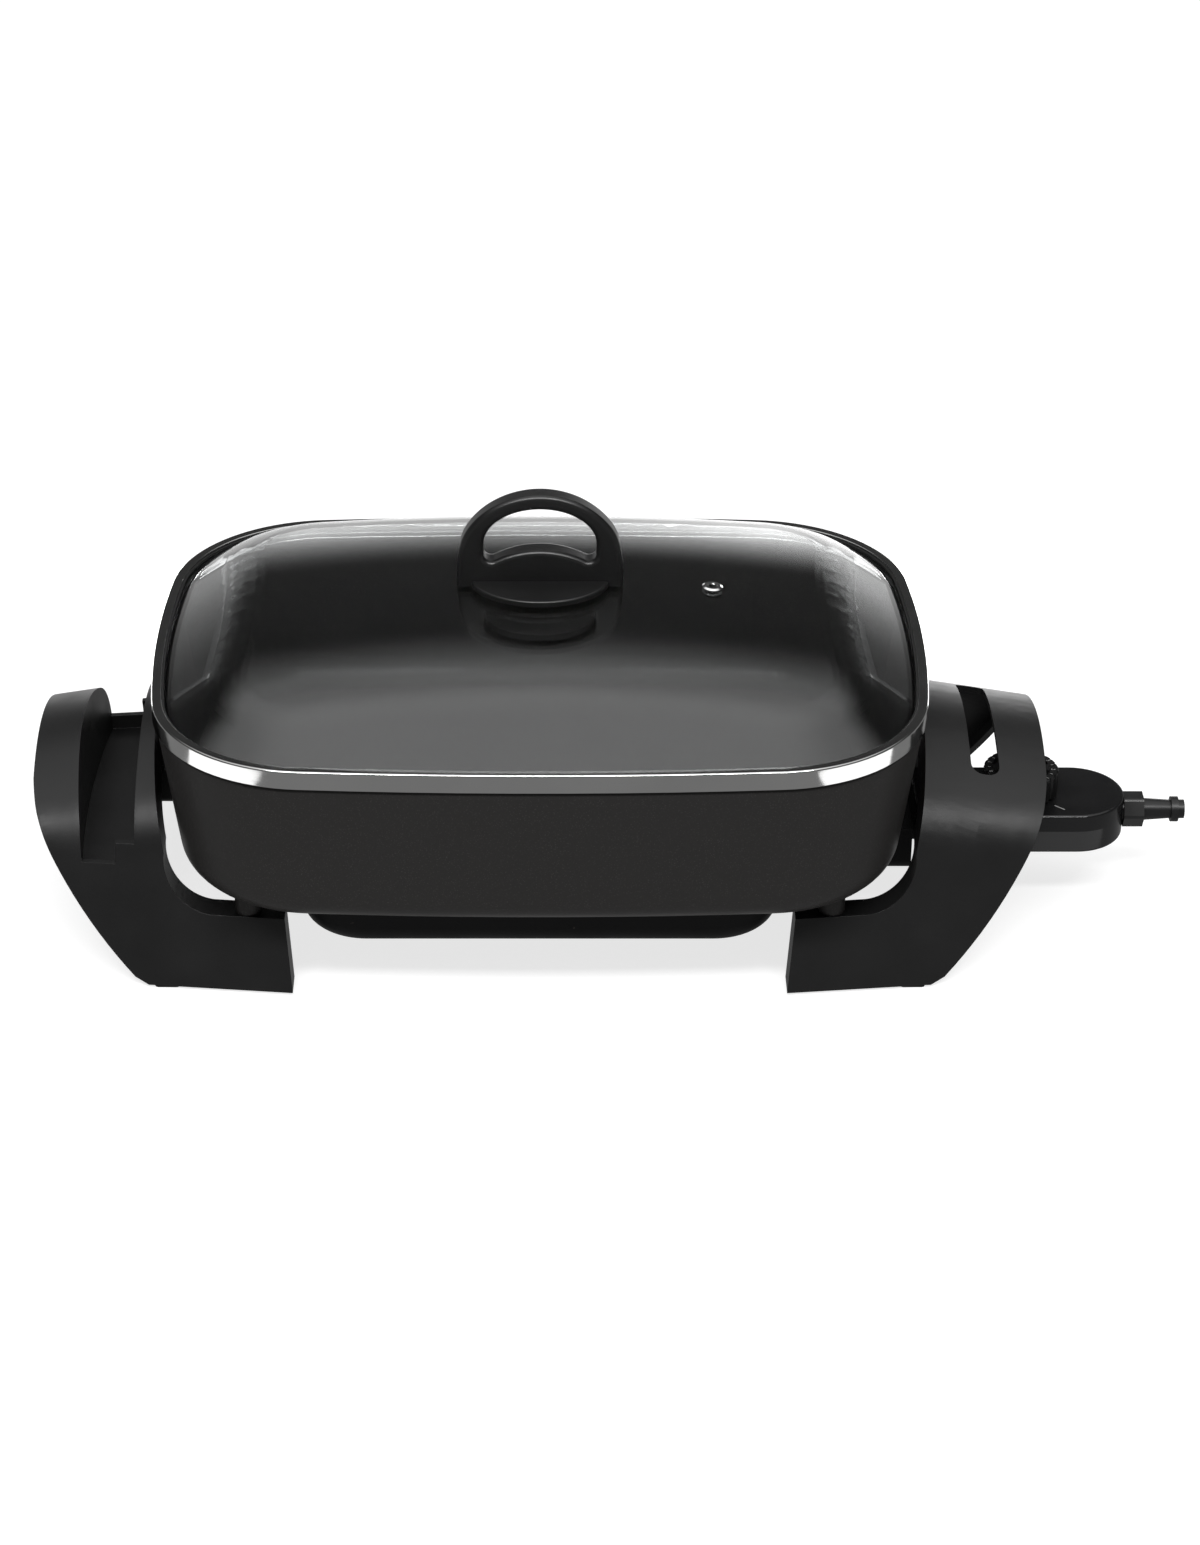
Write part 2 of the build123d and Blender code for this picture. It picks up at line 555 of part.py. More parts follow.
def make_knob():
    """Arched lift handle on a small oval foot, dished on both sides below the opening."""
    foot_z = GLASS_CREST + 1.0
    half = KNOB_HALF_SPAN

    def other(point):
        return -point[0], point[1]

    climb = [other((half, foot_z))] + [other(point) for point in KNOB_BOW[::-1]]
    bow = Spline(*climb, (0, KNOB_TOP), *KNOB_BOW, (half, foot_z), tangents=((0, 1), (0, -1)))
    side, low = (KNOB_OPENING[0], KNOB_OPENING_Z), (KNOB_OPENING[0], KNOB_OPENING_LOW)
    window = make_face([
        Pos(0, KNOB_OPENING_Z) * EllipticalCenterArc((0, 0), *KNOB_OPENING, arc_size=180),
        Line(side, low), ThreePointArc(low, (0, KNOB_SADDLE), other(low)), Line(other(low), other(side)),
    ])
    window = fillet(window.vertices().group_by(Axis.Y)[0], KNOB_OPENING_ROUND)
    edges = [bow, Line((half, foot_z), (-half, foot_z))]
    loop = prism_y(make_face(edges) - window, KNOB_HALF_THICK)
    rims = [e for e in loop.edges()
            if abs(abs(e.center().Y) - KNOB_HALF_THICK) < 0.01 and e.center().Z > foot_z + 1]
    loop = fillet(rims, KNOB_RIM_ROUND)

    length, width, height = KNOB_FOOT
    foot = extrude(Pos(0, 0, foot_z) * Ellipse(length, width), height)
    foot = fillet(foot.edges().group_by(Axis.Z)[-1], 1.0)
    low_z, high_z, neck = foot_z + height - 1.5, foot_z + KNOB_WEB_RISE, KNOB_HALF_THICK - 0.4
    web_edges = [
        ThreePointArc((width, low_z), (width * 0.45, low_z + 3.4), (neck, high_z)),
        Line((neck, high_z), (-neck, high_z)),
        ThreePointArc((-neck, high_z), (-width * 0.45, low_z + 3.4), (-width, low_z)),
        Line((-width, low_z), (width, low_z)),
    ]
    web = extrude(Plane.YZ * make_face(web_edges), length, both=True)
    hump = make_face([ThreePointArc((-length, low_z), (0, high_z), (length, low_z)),
                      Line((length, low_z), (-length, low_z))])
    web = web & prism_y(hump, width + 1)
    web = web & extrude(Pos(0, 0, foot_z) * Ellipse(length, width), 40)
    knob = loop + foot + web
    return knob - rod(SCREW_RADIUS + 0.02, 13, (0, 0, foot_z - 1))


save(make_glass(), "lid_glass")
save(make_rim(), "lid_rim")
save(ring(1.2, 6.3, GLASS_EDGE_TOP + 0.05, RIM_TOP - 1.15), "rim_seal")
save(make_vent(), "vent_grommet")
save(make_knob(), "lid_knob")
gasket = rod(24, 0.9, (0, 0, GLASS_CREST + 0.05))
save(gasket - rod(3.0, 4, (0, 0, GLASS_CREST - 1)), "knob_gasket")
washer_z = GLASS_CREST - GLASS_THICK - 1.9
save(rod(14, 1.5, (0, 0, washer_z)) - rod(CLEAR_HOLE, 4, (0, 0, washer_z - 1)), "knob_washer")
save(Pos(0, 0, washer_z) * pan_head_screw(5.2, 3.0, 17.5), "knob_screw")


# ---- thermostat probe ------------------------------------------------------------------
def probe_plan(inset):
    """Plan of the probe's case: straight sides and a round outer end."""
    half = PROBE_HALF_WIDTH - inset
    start = PROBE_START_X + inset
    turn = PROBE_END_X - PROBE_HALF_WIDTH
    edges = [
        Line((start, -half), (turn, -half)),
        ThreePointArc((turn, -half), (turn + half, 0), (turn, half)),
        Line((turn, half), (start, half)), Line((start, half), (start, -half)),
    ]
    return make_face(edges)


NOSE_START = 168.0
NOSE_HALF = 19.0
NOSE_Z = (39.5, 51.2)


def probe_case(z0, z1):
    """Outer form of the case between two heights, with the nose that enters the socket."""
    body = extrude(Pos(0, 0, z0) * probe_plan(0), z1 - z0)
    return body + block(NOSE_START, PROBE_START_X + 1, -NOSE_HALF, NOSE_HALF,
                        max(z0, NOSE_Z[0]), min(z1, NOSE_Z[1]))


def nose_bores():
    """Holes through the nose for the rod and the two contact sleeves."""
    bores = rod(4.02, 60, (NOSE_START - 1, 0, PROBE_Z), "X")
    for sy in (-1, 1):
        bores = bores + rod(3.52, 40, (NOSE_START - 1, sy * PIN_Y, PROBE_Z), "X")
    return bores


CASE_SCREWS = [(210.0, 18.5), (210.0, -18.5), (288.0, 12.0), (288.0, -12.0)]
GLAND_START = PROBE_END_X - 6


def make_lower_case():
    case = probe_case(PROBE_BOTTOM, PROBE_SPLIT)
    case = fillet(case.faces().sort_by(Axis.Z)[0].edges(), 1.5)
    cavity = extrude(Pos(0, 0, PROBE_BOTTOM + PROBE_WALL) * probe_plan(PROBE_WALL), 40)
    cavity = cavity - block(PROBE_START_X - 1, PROBE_START_X + 6, -30, 30, 0, 100)
    case = case - cavity
    for x, y in CASE_SCREWS:
        case = case + rod(5.6, PROBE_SPLIT - PROBE_BOTTOM, (x, y, PROBE_BOTTOM))
    for x, y in CASE_SCREWS:
        case = case - rod(CLEAR_HOLE, 20, (x, y, PROBE_BOTTOM - 1))
        case = case - rod(4.3, 3.6, (x, y, PROBE_BOTTOM - 1))
    for x in (258.5, 263.5):
        for sy in (-1, 1):
            case = case + rod(1.3, 1.8, (x, sy * 22.0, PROBE_BOTTOM - 1.3))
    return case - nose_bores() - rod(6.02, 10, (GLAND_START, 0, PROBE_Z), "X")


def make_upper_case():
    case = probe_case(PROBE_SPLIT, PROBE_TOP)
    case = fillet(case.faces().sort_by(Axis.Z)[-1].edges(), 1.5)
    cavity_height = PROBE_TOP - PROBE_SPLIT - PROBE_WALL + 1
    cavity = extrude(Pos(0, 0, PROBE_SPLIT - 1) * probe_plan(PROBE_WALL), cavity_height)
    cavity = cavity - block(PROBE_START_X - 1, PROBE_START_X + 6, -30, 30, 0, 100)
    case = case - cavity
    for x, y in CASE_SCREWS:
        case = case + rod(3.9, PROBE_TOP - PROBE_SPLIT - 1, (x, y, PROBE_SPLIT))
    for x, y in CASE_SCREWS:
        case = case - rod(SCREW_RADIUS + 0.02, 7, (x, y, PROBE_SPLIT - 1))
    seat = rod(DIAL_RADIUS - 2, DIAL_BOTTOM - 0.6 - PROBE_TOP, (DIAL_X, 0, PROBE_TOP))
    collar = rod(6.5, 6, (DIAL_X, 0, PROBE_TOP - 5))
    case = case + seat + collar
    case = case - rod(SHAFT_RADIUS + RUNNING_GAP, 20, (DIAL_X, 0, PROBE_TOP - 10))
    case = case - rod(3.6, 10, (LENS_X, 0, PROBE_TOP - 6))
    return case - nose_bores() - rod(6.02, 10, (GLAND_START, 0, PROBE_Z), "X")


LENS_X = 222.0
save(make_lower_case(), "probe_lower_case")
save(make_upper_case(), "probe_upper_case")
lens = rod(3.5, 3.0, (LENS_X, 0, PROBE_TOP - 2.4)) + rod(4.6, 0.9, (LENS_X, 0, PROBE_TOP - 3.2))
save(fillet(lens.edges().sort_by(Axis.Z)[-1], 0.5), "indicator_lens")

sensor = rod(4.0, 84, (132.0, 0, PROBE_Z), "X")
save(fillet(sensor.edges().sort_by(Axis.X)[0], 3.2), "sensor_rod")
sleeve = rod(3.5, 34, (NOSE_START, 0, PROBE_Z), "X")
sleeve = sleeve - rod(PIN_RADIUS + RUNNING_GAP, 23, (NOSE_START - 1, 0, PROBE_Z), "X")
save(join([Pos(0, sy * PIN_Y, 0) * sleeve for sy in (-1, 1)]), "contact_sleeves")
case_screw = pan_head_screw(4.0, 2.2, 14.0)
save(join([Pos(x, y, PROBE_BOTTOM + 2.6) * case_screw for x, y in CASE_SCREWS]), "case_screws")


# thermostat inside the case: a frame, a bimetal blade on the rod and a pair of switch blades
def make_thermostat_frame():
    floor_z = PROBE_BOTTOM + PROBE_WALL
    base = block(216, 268, -13, 13, floor_z + 0.1, floor_z + 1.3)
    posts = join([rod(2.4, 3.6, (x, y, floor_z + 1.2)) for x in (222, 262) for y in (-9, 9)])
    return base + posts


save(make_thermostat_frame(), "thermostat_frame")
save(block(216.1, 250, -3.5, 3.5, PROBE_Z - 0.5, PROBE_Z + 0.5), "bimetal_blade")
blade_z = PROBE_BOTTOM + PROBE_WALL + 4.9
blade = block(219, 265, -2.4, 2.4, blade_z, blade_z + 0.5) + rod(1.6, 0.9, (256, 0, blade_z + 0.4))
save(join([Pos(0, sy * 9, 0) * blade for sy in (-1, 1)]), "switch_blades")


# ---- temperature dial ------------------------------------------------------------------
def make_dial():
    height = DIAL_TOP - DIAL_BOTTOM
    knob = rod(DIAL_RADIUS, height, (0, 0, 0))
    knob = fillet(knob.edges().group_by(Axis.Z)[-1], 1.2)
    dish = rod(DIAL_RADIUS - 4.5, 3, (0, 0, height - 2.0))
    knob = knob - dish + block(-DIAL_RADIUS + 4.6, DIAL_RADIUS - 4.6, -3.2, 3.2, height - 2.5, height)
    groove = rod(SCALLOP_RADIUS, height + 2, (DIAL_RADIUS + 0.5, 0, -1))
    knob = knob - join([Rot(0, 0, 360 * i / DIAL_SCALLOPS) * groove for i in range(DIAL_SCALLOPS)])
    knob = knob - rod(DIAL_RADIUS - 3.0, 3.0, (0, 0, -0.1)) + rod(6.2, 3.0, (0, 0, 0))
    knob = knob - rod(SHAFT_RADIUS + 0.01, 5.4, (0, 0, -0.2))
    return Pos(DIAL_X, 0, DIAL_BOTTOM) * knob


save(make_dial(), "dial")
shaft_low = PROBE_Z + 1.2
shaft = rod(SHAFT_RADIUS, DIAL_BOTTOM + 5.1 - shaft_low, (DIAL_X, 0, shaft_low))
save(shaft, "dial_shaft")


# ---- cord gland and strain relief ------------------------------------------------------
hexagon = Plane.YZ.offset(PROBE_END_X) * Pos(0, PROBE_Z) * RegularPolygon(GLAND_RADIUS, 6)
hexagon = extrude(hexagon, GLAND_LENGTH)
hexagon = fillet(hexagon.edges().filter_by(Axis.X), 2.0)
gland = hexagon + rod(6.0, 6.5, (GLAND_START, 0, PROBE_Z), "X")
save(gland - rod(CORD_BORE, 30, (GLAND_START - 1, 0, PROBE_Z), "X"), "cord_gland")

relief_start = PROBE_END_X + GLAND_LENGTH
relief_profile = Polyline(
    (0, 0), (6.0, 0), (4.95, 15.0), (6.8, 15.0), (6.8, 18.8), (5.05, 18.8), (5.05, RELIEF_LENGTH),
    (0, RELIEF_LENGTH), close=True)
relief = revolve(Plane.XZ * make_face(relief_profile), Axis.Z, 360)
relief = Pos(relief_start, 0, PROBE_Z) * Rot(0, 90, 0) * relief
save(relief - rod(CORD_BORE, 40, (relief_start - 1, 0, PROBE_Z), "X"), "strain_relief")
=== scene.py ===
import math

import bpy
import bmesh
from mathutils import Matrix, Vector


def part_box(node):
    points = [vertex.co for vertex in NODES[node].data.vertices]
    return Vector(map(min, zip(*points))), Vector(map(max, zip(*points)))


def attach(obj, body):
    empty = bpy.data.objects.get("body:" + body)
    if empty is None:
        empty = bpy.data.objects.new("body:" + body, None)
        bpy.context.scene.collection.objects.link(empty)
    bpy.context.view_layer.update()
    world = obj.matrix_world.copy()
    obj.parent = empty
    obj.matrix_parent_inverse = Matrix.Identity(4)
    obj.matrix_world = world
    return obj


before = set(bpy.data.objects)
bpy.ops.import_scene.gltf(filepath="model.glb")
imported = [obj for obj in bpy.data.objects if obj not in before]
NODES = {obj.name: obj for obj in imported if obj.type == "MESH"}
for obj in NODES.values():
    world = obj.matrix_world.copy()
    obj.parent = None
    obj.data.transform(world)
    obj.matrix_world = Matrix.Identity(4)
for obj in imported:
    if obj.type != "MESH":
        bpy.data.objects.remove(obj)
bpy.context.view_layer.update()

bl_info = {
    "name": "Electric Skillet",
    "version": (1, 0, 0),
    "blender": (4, 5, 0),
    "location": "View3D > Sidebar > Skillet",
    "description": "Finishes the pieces of an electric skillet and sets up a product shot of it",
    "category": "Object",
}

# Places that several operators need, taken from the frame (metres)
RIM_LOW, RIM_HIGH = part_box("lid_rim")
DIAL_LOW, DIAL_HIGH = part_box("dial")
PAN_MIDDLE_X = (RIM_LOW.x + RIM_HIGH.x) / 2
RIM_TOP = RIM_HIGH.z
DIAL_CENTRE = ((DIAL_LOW.x + DIAL_HIGH.x) / 2, (DIAL_LOW.y + DIAL_HIGH.y) / 2)
DIAL_RADIUS = (DIAL_HIGH.x - DIAL_LOW.x) / 2
DIAL_TOP = DIAL_HIGH.z

# The dial's printed scale: a number at every second mark, a dash at the others
SCALE_STEPS = 16
SCALE_SWEEP = math.radians(270.0)      # the dial's whole turn
PRINT_RAISE = 0.00005                  # how far a print stands above its surface
DASH_INNER = 0.0036                    # inwards from the dial's edge, like the next two
DASH_OUTER = 0.0022
NUMBER_INSET = 0.0029
DASH_WIDTH = 0.00035
DASH_SINK = 0.0001                     # how far a dash reaches under the surface
NUMBER_SIZE = 0.0029

# The fixed mark on the case beside the dial
POINTER_ANGLE = math.radians(-42.0)    # also where the scale starts
POINTER_INNER = 0.0030                 # outwards from the dial's edge, like the next one
POINTER_OUTER = 0.0095
POINTER_WIDTH = 0.0007
POINTER_SINK = 0.0002                  # how far the mark reaches under the surface
CASE_LENS_STAND = 0.0006               # how far the lens stands above the case

# The small rounds on sharp edges
HANDLE_ROUND = 0.0007
RIM_ROUND = 0.0005
GLAND_ROUND = 0.0004
WELD_REACH = 0.000002                  # corners nearer than this are joined before the rounding
EDGE_ANGLE = math.radians(38.0)        # only edges sharper than this are rounded
FACE_WEIGHT = 60                       # how strongly large faces keep their own shading

# Colours of the finishes that aren't settings
HEATED_STEEL = (0.30, 0.27, 0.24)
BLACK_PAINT = (0.005, 0.005, 0.0052)
CHIPPED_PAINT = (0.12, 0.10, 0.085)
CERAMIC = (0.74, 0.70, 0.62)
STAINED_CERAMIC = (0.62, 0.57, 0.50)
BLACK_RUBBER = (0.010, 0.010, 0.010)
VENT_STEEL = (0.80, 0.80, 0.80)
ZINC_PLATE = (0.56, 0.56, 0.57)
BRASS = (0.68, 0.52, 0.25)
AMBER_RED = (0.55, 0.06, 0.02)

NOISE_SPAN = (0.3, 0.7)                # where most values of a noise pattern lie

# The floor and the long softbox above the front (metres)
FLOOR_REACH = 4.0
KEY_PLACE = (PAN_MIDDLE_X, -1.6, 2.3)
KEY_TARGET = (PAN_MIDDLE_X, 0.0, 0.1)
KEY_WIDTH = 2.6
KEY_DEPTH = 0.30

# Low cards that face up beside the rim and before the probe
CARD_HEIGHT = 0.003
CARD_OUT = 0.37                        # to either side of the pan's middle
CARD_Y = -0.21
CARD_WIDTH = 0.17
CARD_DEPTH = 0.26
PROBE_CARD_OUT = 0.322
PROBE_CARD_Y = -0.10
PROBE_CARD_WIDTH = 0.11
PROBE_CARD_DEPTH = 0.10

# Upright panels behind the lid that draw the bright line along the rim's edge
PANEL_OUT = 0.82
PANEL_Y = 1.2
PANEL_HEIGHT = 0.15
PANEL_WIDTH = 0.60
PANEL_DEPTH = 0.30

# The room: its brightness by height, from the horizon (0) to straight above (1)
ROOM_LEVELS = ((0.0, 0.15), (0.07, 0.12), (0.16, 0.06), (0.30, 0.027),
               (0.60, 0.027), (0.82, 0.53), (1.0, 0.80))
GLOW_TOP = 0.34                        # the height at which the glow behind the product ends
GLOW_START = 0.86                      # how squarely behind a direction must lie to get any of it
GLOW_TURN = 0.25                       # the glow grows from left to right over this much either way
GLOW_LEFT = 0.55
GLOW_RIGHT = 1.45

# The camera's film in millimetres, and the picture's long side and sideways shift in pixels
FILM_WIDTH = 36.0
PICTURE_LENGTH = 1545.0
PICTURE_SHIFT = 60.0


# ---- node helpers ----------------------------------------------------------------------
class Tree:
    """Adds linked nodes to the node tree of a material or of the world."""

    def __init__(self, tree):
        self.tree = tree

    def link(self, source, target):
        self.tree.links.new(source, target)

    def remap(self, value, source, target, curve="LINEAR"):
        """Turn one span of values into another."""
        node = self.tree.nodes.new("ShaderNodeMapRange")
        node.interpolation_type = curve
        node.inputs["From Min"].default_value, node.inputs["From Max"].default_value = source
        node.inputs["To Min"].default_value, node.inputs["To Max"].default_value = target
        self.link(value, node.inputs["Value"])
        return node.outputs["Result"]

    def combine(self, operation, first, second):
        """Work one value out of two."""
        node = self.tree.nodes.new("ShaderNodeMath")
        node.operation = operation
        self.link(first, node.inputs[0])
        self.link(second, node.inputs[1])
        return node.outputs["Value"]


class Shader(Tree):
    """A small builder for procedural materials on the Principled shader."""

    def __init__(self, name, colour, roughness, metallic=0.0):
        self.material = bpy.data.materials.new(name)
        self.material.use_nodes = True
        super().__init__(self.material.node_tree)
        self.tree.nodes.clear()
        output = self.tree.nodes.new("ShaderNodeOutputMaterial")
        self.surface = self.tree.nodes.new("ShaderNodeBsdfPrincipled")
        self.surface.inputs["Base Color"].default_value = (*colour[:3], 1.0)
        self.surface.inputs["Roughness"].default_value = roughness
        self.surface.inputs["Metallic"].default_value = metallic
        self.link(self.surface.outputs["BSDF"], output.inputs["Surface"])
        self.place = self.tree.nodes.new("ShaderNodeTexCoord").outputs["Object"]
        self.material.diffuse_color = (*colour[:3], 1.0)

    def set(self, **values):
        """Set constants on the shader's own sockets."""
        for name, value in values.items():
            self.surface.inputs[name.replace("_", " ")].default_value = value

    def stretched(self, scale):
        """Object coordinates scaled differently along each axis."""
        node = self.tree.nodes.new("ShaderNodeMapping")
        node.inputs["Scale"].default_value = scale
        self.link(self.place, node.inputs["Vector"])
        return node.outputs["Vector"]

    def noise(self, scale, detail, fineness=0.5, where=None):
        """A cloudy pattern; its scale counts clouds per metre."""
        node = self.tree.nodes.new("ShaderNodeTexNoise")
        node.inputs["Scale"].default_value = scale
        node.inputs["Detail"].default_value = detail
        node.inputs["Roughness"].default_value = fineness
        self.link(where or self.place, node.inputs["Vector"])
        return node.outputs["Fac"]

    def cells(self, scale):
        """A pattern of spots; its scale counts spots per metre."""
        node = self.tree.nodes.new("ShaderNodeTexVoronoi")
        node.inputs["Scale"].default_value = scale
        self.link(self.place, node.inputs["Vector"])
        return node.outputs["Distance"]

    def blend(self, factor, first, second):
        """Mix two colours by a factor socket."""
        node = self.tree.nodes.new("ShaderNodeMix")
        node.data_type = "RGBA"
        self.link(factor, node.inputs["Factor"])
        node.inputs["A"].default_value = (*first[:3], 1.0)
        node.inputs["B"].default_value = (*second[:3], 1.0)
        return node.outputs["Result"]

    def colour(self, factor, first, second):
        """Blend the base colour between two colours."""
        self.link(self.blend(factor, first, second), self.surface.inputs["Base Color"])

    def rough(self, pattern, low, high, span=NOISE_SPAN):
        """Let a pattern drive the roughness between two values."""
        self.link(self.remap(pattern, span, (low, high)), self.surface.inputs["Roughness"])

    def bump(self, height, depth, strength=1.0):
        """Add a bump over whatever already feeds the normal."""
        node = self.tree.nodes.new("ShaderNodeBump")
        node.inputs["Distance"].default_value = depth
        node.inputs["Strength"].default_value = strength
        self.link(height, node.inputs["Height"])
        old = self.surface.inputs["Normal"].links
        if old:
            self.link(old[0].from_socket, node.inputs["Normal"])
        self.link(node.outputs["Normal"], self.surface.inputs["Normal"])


def lighter(colour, factor):
    """A brighter colour, or a darker one where the factor is below 1."""
    return tuple(min(1.0, c * factor) for c in colour[:3])


# ---- finishes --------------------------------------------------------------------------
def plastic(name, colour, roughness, grain_size, grain_depth, shine=0.33):
    """Moulded plastic: fine grain, slow roughness drift and faint rub marks."""
    look = Shader(name, colour, roughness)
    look.set(Specular_IOR_Level=shine)
    look.rough(look.noise(scale=28.0, detail=4.0), roughness - 0.06, roughness + 0.07)
    rub = look.noise(scale=9.0, detail=6.0, fineness=0.62)
    look.colour(look.remap(rub, (0.52, 0.74), (0.0, 0.5)), colour, lighter(colour, 1.35))
    look.bump(look.noise(scale=1.0 / grain_size, detail=2.0), depth=grain_depth)
    look.bump(look.noise(scale=140.0, detail=2.0), depth=grain_depth * 0.8, strength=0.35)
    return look


def metal(name, colour, roughness, level, upright):
    """Bright metal with drawn streaks; level and upright count the streaks per metre each way."""
    look = Shader(name, colour, roughness, metallic=1.0)
    streaks = look.noise(scale=1.0, detail=5.0, fineness=0.6, where=look.stretched((level, level, upright)))
    cloud = look.noise(scale=22.0, detail=4.0)
    polish = look.combine("MULTIPLY", streaks, cloud)
    look.rough(polish, roughness * 0.7, roughness * 1.5, span=(0.12, 0.42))
    look.colour(look.remap(cloud, (0.35, 0.7), (0.0, 0.35)), colour, lighter(colour, 0.8))
    look.bump(streaks, depth=0.000015, strength=0.5)
    return look


def painted_steel(name, colour, roughness):
    """Dark heat-proof paint with fine texture and a few chips."""
    look = Shader(name, colour, roughness)
    look.set(Specular_IOR_Level=0.12)
    look.rough(look.noise(scale=40.0, detail=5.0), roughness - 0.08, roughness + 0.1)
    chips = look.noise(scale=160.0, detail=6.0, fineness=0.7)
    look.colour(look.remap(chips, (0.68, 0.74), (0.0, 0.7)), colour, CHIPPED_PAINT)
    look.bump(look.noise(scale=700.0, detail=3.0), depth=0.00004, strength=0.6)
    return look


def dress(look, nodes):
    """Give a material to CAD nodes."""
    for node in nodes:
        mesh = NODES[node].data
        mesh.materials.clear()
        mesh.materials.append(look.material)


def soften_edges(nodes, width):
    """Break the sharp edges of CAD nodes with a small round."""
    for node in nodes:
        piece = NODES[node]
        weld = piece.modifiers.new("joined_faces", "WELD")
        weld.merge_threshold = WELD_REACH
        edge = piece.modifiers.new("broken_edges", "BEVEL")
        edge.width, edge.segments = width, 2
        edge.limit_method, edge.angle_limit = "ANGLE", EDGE_ANGLE
        even = piece.modifiers.new("even_shading", "WEIGHTED_NORMAL")
        even.mode, even.weight = "FACE_AREA", FACE_WEIGHT


# ---- prints ----------------------------------------------------------------------------
def plate(shapes, outline, low, high):
    """Add one thin plate to a mesh being built, from its flat outline and two heights."""
    count = len(outline)
    bottom = [shapes.verts.new((x, y, low)) for x, y in outline]
    top = [shapes.verts.new((x, y, high)) for x, y in outline]
    shapes.faces.new(top)
    shapes.faces.new(bottom[::-1])
    for i in range(count):
        j = (i + 1) % count
        shapes.faces.new((bottom[i], bottom[j], top[j], top[i]))


def bar(shapes, angle, near, far, width, low, high):
    """A straight mark that points away from the dial's centre."""
    along = Vector((math.cos(angle), math.sin(angle)))
    across = Vector((-along.y, along.x)) * width / 2
    middle = Vector(DIAL_CENTRE)
    corners = [middle + along * near - across, middle + along * far - across,
               middle + along * far + across, middle + along * near + across]
    plate(shapes, [tuple(corner) for corner in corners], low, high)


def figure(shapes, text, angle, radius, height):
    """A plain number on a ring round the dial's centre, its foot towards the centre."""
    words = bpy.data.curves.new("figure", "FONT")
    words.body, words.size, words.extrude = text, NUMBER_SIZE, PRINT_RAISE
    words.align_x, words.align_y = "CENTER", "CENTER"
    holder = bpy.data.objects.new("figure", words)
    mesh = bpy.data.meshes.new_from_object(holder)
    bpy.data.objects.remove(holder)
    bpy.data.curves.remove(words)
    x, y = DIAL_CENTRE
    spot = Vector((x + radius * math.cos(angle), y + radius * math.sin(angle), height))
    mesh.transform(Matrix.Translation(spot) @ Matrix.Rotation(angle - math.pi / 2, 4, "Z"))
    shapes.from_mesh(mesh)
    bpy.data.meshes.remove(mesh)


def new_object(name, shapes, body, material):
    """Make a piece of built shapes, let it ride on a body and give it its material."""
    mesh = bpy.data.meshes.new(name)
    shapes.to_mesh(mesh)
    shapes.free()
    made = bpy.data.objects.new(name, mesh)
    bpy.context.scene.collection.objects.link(made)
    mesh.materials.append(material)
    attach(made, body)


# ---- settings --------------------------------------------------------------------------
class SkilletLook(bpy.types.PropertyGroup):
    coating_colour: bpy.props.FloatVectorProperty(
        name="Coating", description="Colour of the pan's non-stick coating", subtype="COLOR", size=3,
        min=0.0, max=1.0, default=(0.0168, 0.0161, 0.0157))
    coating_roughness: bpy.props.FloatProperty(
        name="Coating Roughness", description="Roughness of the pan's coating", subtype="FACTOR",
        min=0.0, max=1.0, default=0.34)
    handle_colour: bpy.props.FloatVectorProperty(
        name="Handles", description="Colour of the side handles and the lid's knob", subtype="COLOR", size=3,
        min=0.0, max=1.0, default=(0.0060, 0.0060, 0.0061))
    handle_roughness: bpy.props.FloatProperty(
        name="Handle Roughness", description="Roughness of the moulded handles", subtype="FACTOR",
        min=0.0, max=1.0, default=0.40)
    probe_colour: bpy.props.FloatVectorProperty(
        name="Probe", description="Colour of the thermostat probe's case", subtype="COLOR", size=3,
        min=0.0, max=1.0, default=(0.0062, 0.0062, 0.0065))
    print_colour: bpy.props.FloatVectorProperty(
        name="Print", description="Colour of the dial's printed scale", subtype="COLOR", size=3,
        min=0.0, max=1.0, default=(0.30, 0.30, 0.295))
    rim_colour: bpy.props.FloatVectorProperty(
        name="Rim Steel", description="Colour of the polished steel on the lid", subtype="COLOR", size=3,
        min=0.0, max=1.0, default=(0.52, 0.52, 0.515))
    glass_tint: bpy.props.FloatVectorProperty(
        name="Glass", description="Tint of the lid's glass", subtype="COLOR", size=3,
        min=0.0, max=1.0, default=(0.93, 0.95, 0.95))
    grain_size: bpy.props.FloatProperty(
        name="Grain", description="Size of the moulded grain on the handles", unit="LENGTH",
        min=0.0001, max=0.002, precision=5, default=0.00045)


